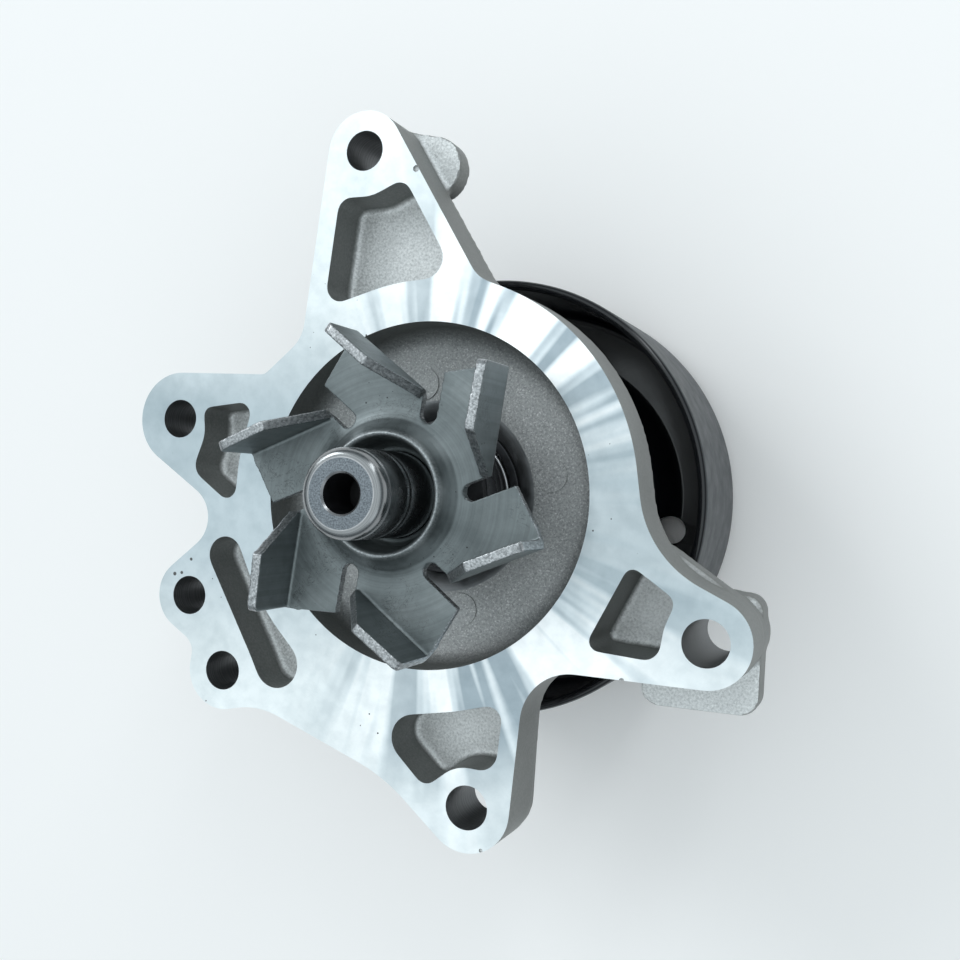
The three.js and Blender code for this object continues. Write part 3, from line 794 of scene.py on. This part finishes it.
def pump_body(cast, milled, drilled, seat):
    body = cast_blank()
    add_ejector_marks(body)
    machine_body(body)

    def finish(centres, normals):
        x, y, z = centres.T
        up = normals[:, 2]
        index = np.zeros(len(centres), int)
        index[(z > FACE_Z - 0.01) & (up > 0.99)] = 1
        for lug_x, lug_y, hole, _, _ in LUGS:
            index[(np.hypot(x - lug_x, y - lug_y) < hole + 0.3) & (up < 0.95)] = 2
        in_bore = (np.hypot(x, y) < FUNNEL_R + 0.5) & (z < CHAMBER_FLOOR_Z + 0.1) & (z > NECK_LOW_Z + 0.2)
        index[in_bore & (up < 0.99) & (up > -0.1)] = 3
        return index

    body.data.shade_smooth()
    paint_faces(body.data, finish)
    body.data.set_sharp_from_angle(angle=math.radians(38))
    piece(body, "pump_body", (cast, milled, drilled, seat))


# ---- impeller ----------------------------------------------------------------------------------
SHEET = 1.6
DISC_TOP_Z = 78.6
DISC_HOLE_R = 12.5
FOLD_X = 15.2             # distance of a blade's inner side from the axis
BEND_R = 0.25             # inside of the fold between disc and blade
FIRST_BLADE = math.radians(-6.3)
BLADES = 6
BLADE_START = 5.4         # a blade's near end, measured along its fold
BLADE_REACH = 21.4        # its far end
LONG_BLADE_REACH = 22.7   # the first petal is a little longer than the rest
SLOT_R = 1.4
COLLAR_R = 7.0            # inside of the collar that grips the shaft
COLLAR_LOW_Z = 71
BEAD_CROWN_R = 9.7
BEAD_FOOT_R = 14.2
IMPELLER_VOXEL = 0.2


def turned(x, y, angle):
    c, s = math.cos(angle), math.sin(angle)
    return x * c - y * s, x * s + y * c


def blades():
    """Angle and reach of each blade."""
    return [(FIRST_BLADE + TAU * k / BLADES, LONG_BLADE_REACH if k == 0 else BLADE_REACH)
            for k in range(BLADES)]


def star_plate():
    """The flat star: each petal ends at its fold, with a notch between it and the next."""
    circles = []
    for angle, reach in blades():
        petal = ((20.4, 4.6, 0.5), (FOLD_X - 0.8, 5.3, 0.2), (FOLD_X - 0.8, reach - 0.2, 0.2))
        circles += [(*turned(x, y, angle), r) for x, y, r in petal]
    return prism("impeller", belt(circles, 0.25), [(DISC_TOP_Z - SHEET, 0), (DISC_TOP_Z, 0)])


def relief_slot(angle):
    """Round-ended slot beside the foot of a blade."""
    ends = [(*turned(x, y, angle), SLOT_R) for x, y in ((14, 2.7), (20, 6.0))]
    return prism("slot", belt(ends, 0.2), [(DISC_TOP_Z - 4, 0), (DISC_TOP_Z + 0.9, 0)])


def folded_blade(angle, reach):
    """A strip of sheet bent upwards, then trimmed to the blade's side outline."""
    bend_x = FOLD_X - BEND_R
    bend_z = DISC_TOP_Z + BEND_R
    root_x = bend_x - 2
    uncut_z = 92
    inside = arc_profile(bend_x, bend_z, BEND_R, -90, 0, 5)
    outside = arc_profile(bend_x, bend_z, BEND_R + SHEET, 0, -90, 8)
    section = [(root_x, DISC_TOP_Z)] + inside + [(FOLD_X, uncut_z), (FOLD_X + SHEET, uncut_z)]
    section += outside + [(root_x, DISC_TOP_Z - SHEET)]
    strip = loft("blade", [[(x, y, z) for x, z in section] for y in (BLADE_START, reach)])
    side = [(5.5, 76), (reach + 0.1, 76), (reach + 0.1, 87.2), (reach - 0.2, 87.9), (reach - 0.9, 88.3),
            (12.8, 88.9), (12.2, 88.8), (5.5, 79.6)]
    trim = loft("trim", [[(x, y, z) for y, z in side] for x in (30, 5)])
    combine(strip, trim, "INTERSECT")
    strip.data.transform(Matrix.Rotation(angle, 4, "Z"))
    return strip


def hub_profile():
    """Collar that grips the shaft, and the bead pressed up round it."""
    bottom = [(COLLAR_R, COLLAR_LOW_Z), (COLLAR_R + SHEET, COLLAR_LOW_Z)]
    under = [(COLLAR_R + SHEET, 73.4), (9.6, 75.2), (10.1, 77.2), (10.8, 78.2),
             (12.9, DISC_TOP_Z - SHEET), (BEAD_FOOT_R, DISC_TOP_Z - SHEET)]
    rise = [(BEAD_FOOT_R, DISC_TOP_Z), (13.2, 78.75), (12.2, 79.15), (11.3, 79.9), (10.6, 80.8),
            (10.2, 81.5), (9.95, 81.9), (BEAD_CROWN_R, 82.05)]
    fall = [(9.4, 81.9), (9.1, 81.4), (8.9, 80.4), (8.7, 78.4), (8.4, 77.0), (7.8, 76.2), (COLLAR_R, 76.0)]
    return bottom + under + rise + fall


def impeller(sheet, edge):
    body = star_plate()
    combine(body, cylinder("hole", DISC_HOLE_R, 70, 90, 128), "DIFFERENCE")
    combine(body, lathe("hub", hub_profile()), "UNION")
    for angle, _ in blades():
        combine(body, relief_slot(angle), "DIFFERENCE")
    for angle, reach in blades():
        combine(body, folded_blade(angle, reach), "UNION")
    modify(body, "REMESH", mode="VOXEL", voxel_size=IMPELLER_VOXEL)
    modify(body, "SMOOTH", factor=0.5, iterations=2)
    modify(body, "DECIMATE", ratio=0.4)

    def finish(centres, normals):
        x, y, z = centres.T
        slope = np.abs(normals[:, 2])
        index = np.zeros(len(centres), int)
        index[(np.hypot(x, y) > 13.2) & (z < DISC_TOP_Z + 0.1) & (slope < 0.45)] = 1
        above_disc = z > DISC_TOP_Z + 1
        for angle, _ in blades():
            c, s = math.cos(angle), math.sin(angle)
            across = x * c + y * s
            along = -x * s + y * c
            facing = np.abs(normals[:, 0] * c + normals[:, 1] * s)
            folded = (across > FOLD_X - 2.5) & (across < FOLD_X + 2) & (along > 5) & (along < 23)
            index[folded] = 0
            end = (along < BLADE_START + 0.5) | (along > BLADE_REACH - 0.5)
            index[folded & (facing < 0.6) & (above_disc | (end & (slope < 0.6)))] = 1
        return index

    body.data.shade_smooth()
    paint_faces(body.data, finish)
    piece(body, "impeller", (sheet, edge))


# ---- shaft -------------------------------------------------------------------------------------
SHAFT_R = 7.95
GROOVE_R = 7.4
GROOVE_Z = 37
NOSE_R = 6.95
NOSE_START_Z = 47.5
NOSE_ROUND = 1.6
SHAFT_TOP_Z = 94.8
END_FACE_R = 5.3
CENTRE_HOLE_R = 3.05

# Wear bands and a groove on the nose: depth below its surface, height
NOSE_MARKS = (
    (0.0, 71.1), (0.05, 84.4), (0.13, 84.6), (0.13, 84.9), (0.03, 85.2), (0.03, 85.9), (0.12, 86.1),
    (0.12, 86.4), (0.02, 86.7), (0.02, 92.0), (0.22, 92.25), (0.22, 92.6), (0.0, 92.9),
)


def shaft(steel, face, oxide, rim_steel):
    profile = [(0, 0.02), (7.1, 0.02), (SHAFT_R, 0.85), (SHAFT_R, GROOVE_Z - 1.5),
               (GROOVE_R, GROOVE_Z - 0.7), (GROOVE_R, GROOVE_Z + 0.7), (SHAFT_R, GROOVE_Z + 1.5),
               (SHAFT_R, NOSE_START_Z - 1), (NOSE_R, NOSE_START_Z)]
    profile += [(NOSE_R - depth, z) for depth, z in NOSE_MARKS]
    profile += arc_profile(NOSE_R - NOSE_ROUND, SHAFT_TOP_Z - NOSE_ROUND, NOSE_ROUND, 0, 78, 10)
    profile += [(END_FACE_R + 0.15, SHAFT_TOP_Z - 0.02), (END_FACE_R, SHAFT_TOP_Z),
                (CENTRE_HOLE_R + 0.3, SHAFT_TOP_Z), (CENTRE_HOLE_R, SHAFT_TOP_Z - 0.3),
                (CENTRE_HOLE_R, 86), (2.4, 85.4), (0, 84.2)]
    body = lathe("shaft", profile, 160)

    def finish(centres, _):
        x, y, z = centres.T
        radius = np.hypot(x, y)
        index = np.zeros(len(centres), int)
        index[(z > SHAFT_TOP_Z - 0.05) & (radius < END_FACE_R + 0.05)] = 1
        outer_rim = np.abs(radius - END_FACE_R - 0.12) < 0.14
        inner_rim = np.abs(radius - CENTRE_HOLE_R - 0.15) < 0.16
        index[(z > SHAFT_TOP_Z - 0.35) & (outer_rim | inner_rim)] = 3
        index[(z > 80) & (radius < CENTRE_HOLE_R + 0.15) & (z < SHAFT_TOP_Z - 0.2)] = 2
        return index

    paint_faces(body.data, finish)
    piece(body, "shaft", (steel, face, oxide, rim_steel))


# ---- pulley ------------------------------------------------------------------------------------
PULLEY_R = 42.45
PULLEY_INNER_R = 40.65
PULLEY_BORE_R = 14.1
RIM_TOP_Z = 33.55
WEB_HOLE_R = 2.9
WEB_HOLE_ORBIT = 30.2
WEB_HOLES = 4
FIRST_WEB_HOLE = math.radians(-10)


def pulley(paint, band):
    """A drawn cup whose web steps up to the hub, with a rolled rim."""
    rim = (PULLEY_R - PULLEY_INNER_R) / 2
    profile = [(PULLEY_BORE_R, 5), (25.6, 5), (26.6, 4.7), (29.6, 0.9), (30.6, 0.25), (31.6, 0.05)]
    profile += arc_profile(PULLEY_R - 4, 4.05, 4, -90, 0, 10)
    profile += [(PULLEY_R, 32.6)] + arc_profile(PULLEY_R - rim, RIM_TOP_Z - rim, rim, 0, 180, 12)
    profile += arc_profile(PULLEY_INNER_R - 2.2, 4.4, 2.2, 0, -90, 8)
    profile += [(32, 2.2), (31.3, 2.4), (30.6, 2.9), (27.6, 6.6), (26.6, 7.2), (PULLEY_BORE_R, 7.2)]
    body = lathe("pulley", profile, 192, math.radians(50))
    for k in range(WEB_HOLES):
        hole = cylinder("hole", WEB_HOLE_R, -2, 12, 64)
        move_out(hole, WEB_HOLE_ORBIT, FIRST_WEB_HOLE + TAU * k / WEB_HOLES)
        combine(body, hole, "DIFFERENCE")

    def finish(centres, _):
        x, y, z = centres.T
        return (np.hypot(x, y) > PULLEY_R - 0.25) & (z > 2.5) & (z < RIM_TOP_Z - 0.45)

    body.data.shade_smooth()
    body.data.set_sharp_from_angle(angle=math.radians(35))
    paint_faces(body.data, finish)
    piece(body, "pulley", (paint, band))


# ---- bearing -----------------------------------------------------------------------------------
RACE_INNER_R = 12
RACE_R = 15
RACE_LOW_Z = 15
RACE_TOP_Z = 45
BALL_R = 2.9
BALL_ORBIT = 10.4
BALL_Z = 37
BALLS = 8
ROLLER_R = 1.9
ROLLER_HALF = 4.5
ROLLER_CHAMFER = 0.4
ROLLER_ORBIT = 9.95
ROLLER_Z = 22
ROLLERS = 10
BEARING_SEAL = (8.1, 11.95)             # inner and outer radius
SLINGER_Z = 45.3


def row_of(count, node, profile, orbit, z, steel):
    """Equal balls or rollers, evenly spaced round the shaft."""
    for k in range(count):
        made = lathe(node, profile, 32)
        move_out(made, orbit, TAU * k / count, z)
        piece(made, f"{node}_{k + 1}", (steel,))


def balls_and_rollers(steel):
    half_circle = arc_profile(0, 0, BALL_R, -90, 90, 16)
    ball = [(0, -BALL_R)] + half_circle[1:-1] + [(0, BALL_R)]
    row_of(BALLS, "bearing_ball", ball, BALL_ORBIT, BALL_Z, steel)
    end_r = ROLLER_R - ROLLER_CHAMFER
    side_z = ROLLER_HALF - ROLLER_CHAMFER
    roller = [(0, -ROLLER_HALF), (end_r, -ROLLER_HALF), (ROLLER_R, -side_z), (ROLLER_R, side_z),
              (end_r, ROLLER_HALF), (0, ROLLER_HALF)]
    row_of(ROLLERS, "bearing_roller", roller, ROLLER_ORBIT, ROLLER_Z, steel)


def race_and_seals(steel, rubber, spring_wire):
    ball_groove = [(RACE_INNER_R, BALL_Z + 2.6), (13.38, BALL_Z + 1.1), (13.38, BALL_Z - 1.1),
                   (RACE_INNER_R, BALL_Z - 2.6)]
    race = washer(RACE_INNER_R, RACE_R, RACE_LOW_Z, RACE_TOP_Z) + ball_groove
    turned_piece("bearing_outer_race", race, steel, 0.4)
    turned_piece("bearing_seal_wet_end", washer(*BEARING_SEAL, 43, 44.6), rubber)
    turned_piece("bearing_seal_pulley_end", washer(*BEARING_SEAL, 15.3, 16.1), rubber)
    slinger = [(8, SLINGER_Z), (11.2, SLINGER_Z), (11.8, SLINGER_Z + 0.8), (8, SLINGER_Z + 0.8)]
    turned_piece("slinger", slinger, spring_wire)


def pulley_hub(steel):
    profile = [(8.0, 1), (14, 1), (14, 7.3), (21, 7.3), (21, 10), (12, 10), (12, 13.5), (8.0, 13.5)]
    turned_piece("pulley_hub", profile, steel, 0.5)


# ---- face seal ---------------------------------------------------------------------------------
WIRE_R = 0.55
COIL_R = 11.2
COIL_LOW_Z = 48.7
COIL_TOP_Z = 56.6
COIL_TURNS = 3
CUP_LOW_Z = 47
CUP_R = 12.95
CUP_FLANGE_R = 13.7
CUP_FLANGE_Z = 54.4
CUP_SHEET = 0.8
CARBON_Z = 58.6
MATING_RING_Z = 62
MATING_RING_R = 12.2
BOOT_BORE_R = 7.0


def seal_spring(spring_wire):
    """Round wire wound round the shaft."""
    steps, sides = 240, 16
    rise = COIL_TOP_Z - COIL_LOW_Z
    per_turn = COIL_R * TAU * COIL_TURNS
    loops = []
    for i in range(steps + 1):
        t = i / steps
        a = TAU * COIL_TURNS * t
        centre = Vector((COIL_R * math.cos(a), COIL_R * math.sin(a), COIL_LOW_Z + rise * t))
        out = Vector((math.cos(a), math.sin(a), 0))
        along = Vector((-per_turn * math.sin(a), per_turn * math.cos(a), rise)).normalized()
        up = along.cross(out)
        around = [TAU * k / sides for k in range(sides)]
        loops.append([centre + WIRE_R * (math.cos(b) * out - math.sin(b) * up) for b in around])
    piece(loft("seal_spring", loops), "seal_spring", (spring_wire,))


def face_seal(lacquer, rubber, carbon, carbide):
    inner_wall_r = CUP_R - CUP_SHEET
    cup = [(9.3, CUP_LOW_Z), (CUP_R, CUP_LOW_Z), (CUP_R, CUP_FLANGE_Z), (CUP_FLANGE_R, CUP_FLANGE_Z),
           (CUP_FLANGE_R, CUP_FLANGE_Z + CUP_SHEET), (inner_wall_r, CUP_FLANGE_Z + CUP_SHEET),
           (inner_wall_r, CUP_LOW_Z + CUP_SHEET), (9.3, CUP_LOW_Z + CUP_SHEET)]
    turned_piece("seal_cup", cup, lacquer, 0.25)
    bellows = [(7.4, 48.2), (9.9, 48.2), (9.9, 49.6), (9.1, 50.4), (9.1, 53), (10, 54.2), (9.1, 55.4),
               (9.1, 57.5), (11.9, 57.5), (11.9, 58.3), (7.9, 58.3), (7.9, 49.6), (7.4, 49.6)]
    turned_piece("seal_bellows", bellows, rubber, 0.3)
    carbon_ring = [(8.4, CARBON_Z), (11.8, CARBON_Z), (11.8, CARBON_Z + 2), (10.6, CARBON_Z + 2),
                   (10.6, CARBON_Z + 3.3), (8.4, CARBON_Z + 3.3)]
    turned_piece("seal_carbon_ring", carbon_ring, carbon, 0.15)
    ring = washer(9.2, MATING_RING_R, MATING_RING_Z, MATING_RING_Z + 4)
    turned_piece("seal_mating_ring", ring, carbide, 0.2)
    boot = [(BOOT_BORE_R, 62.3), (8.9, 62.3), (8.9, 66.3), (12, 66.3), (12, 67.6), (BOOT_BORE_R, 67.6)]
    turned_piece("mating_ring_boot", boot, rubber, 0.3)


def finish_cages(polymer):
    """The two cages are hidden in the bearing: they stay CAD solids, with a material of their own."""
    for node in ("ball_cage", "roller_cage"):
        materials = frame["nodes"][node].data.materials
        materials.clear()
        materials.append(polymer)


# ---- build -------------------------------------------------------------------------------------
seat = turned_steel("seal_seat", (0.26, 0.27, 0.28), (0.36, 0.37, 0.38), 0.48, 3000, 0.1)
ground = turned_steel("ground_steel", (0.20, 0.205, 0.21), (0.34, 0.345, 0.35), 0.24)
chrome = turned_steel("bearing_steel", (0.5, 0.5, 0.5), (0.6, 0.6, 0.6), 0.12, 3000, 0.05)
rubber = plain_finish("seal_rubber", (0.012, 0.012, 0.013), (0.03, 0.03, 0.032), 0.0, 0.6)
lacquer = plain_finish("seal_lacquer", (0.012, 0.012, 0.014), (0.022, 0.023, 0.026), 0.2, 0.4)
spring_wire = plain_finish("spring_steel", (0.35, 0.35, 0.36), (0.48, 0.48, 0.49), 0.95, 0.3)
carbon = plain_finish("seal_carbon", (0.02, 0.02, 0.022), (0.04, 0.04, 0.043), 0.2, 0.45)
carbide = plain_finish("seal_carbide", (0.03, 0.03, 0.033), (0.05, 0.05, 0.053), 0.1, 0.3)
polymer = plain_finish("cage_polymer", (0.03, 0.05, 0.04), (0.05, 0.075, 0.06), 0.0, 0.5)
black_oxide = plain_finish("centre_hole", (0.006, 0.006, 0.007), (0.014, 0.014, 0.016), 0.3, 0.5)
hub_metal = plain_finish("hub_steel", (0.05, 0.055, 0.06), (0.09, 0.095, 0.10), 0.8, 0.42)

pump_body(cast_aluminium(), milled_aluminium(), drilled_aluminium(), seat)
impeller(stamped_steel(), sheared_edge())
shaft(ground, granular_steel(), black_oxide, spring_wire)
pulley(black_paint(), band_steel())
balls_and_rollers(chrome)
seal_spring(spring_wire)
pulley_hub(hub_metal)
race_and_seals(chrome, rubber, spring_wire)
face_seal(lacquer, rubber, carbon, carbide)
finish_cages(polymer)

add_stage()
add_world()
add_lights()
add_camera()
bpy.context.scene.view_settings.view_transform = "Standard"
